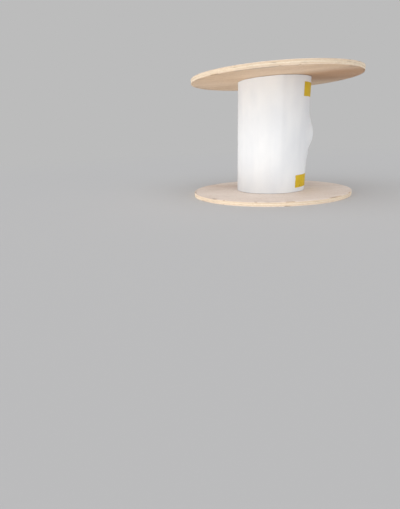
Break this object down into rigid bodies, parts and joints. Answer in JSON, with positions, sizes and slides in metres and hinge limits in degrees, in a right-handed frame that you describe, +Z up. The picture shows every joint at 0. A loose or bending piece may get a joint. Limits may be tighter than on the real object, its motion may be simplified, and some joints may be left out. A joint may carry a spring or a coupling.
{
  "type": "wooden cable drum",
  "caption": "Small cable drum: plywood disc flanges tie-rodded onto a cardboard tube that wears a taped white foam sheet, with a central arbor hole.",
  "frame": {"origin": "middle of the lower flange's underside, on the drum's axis, where it stands on the floor", "axes": "+Z up along the drum's axis; -Y is the side the picture shows, with +X to its right, where the sheet's loose edge is"},
  "size_m": [0.3999, 0.4, 0.28],
  "materials": {
    "plywood": "raw sanded plywood, pale pinkish face, cream sawn edge",
    "cardboard": "wound brown board",
    "foam": "soft white foam sheet",
    "tape": "mustard yellow adhesive tape, half gloss",
    "steel": "dull zinc plated"
  },
  "bodies": {
    "root": {"lower_flange": "plywood", "upper_flange": "plywood", "barrel_tube": "cardboard", "foam_wrap": "foam", "upper_tape": "tape", "lower_tape": "tape", "tie_rod_1": "steel", "bottom_washer_1": "steel", "bottom_nut_1": "steel", "top_washer_1": "steel", "top_nut_1": "steel", "tie_rod_2": "steel", "bottom_washer_2": "steel", "bottom_nut_2": "steel", "top_washer_2": "steel", "top_nut_2": "steel", "tie_rod_3": "steel", "bottom_washer_3": "steel", "bottom_nut_3": "steel", "top_washer_3": "steel", "top_nut_3": "steel", "tie_rod_4": "steel", "bottom_washer_4": "steel", "bottom_nut_4": "steel", "top_washer_4": "steel", "top_nut_4": "steel"}
  },
  "joints": []
}
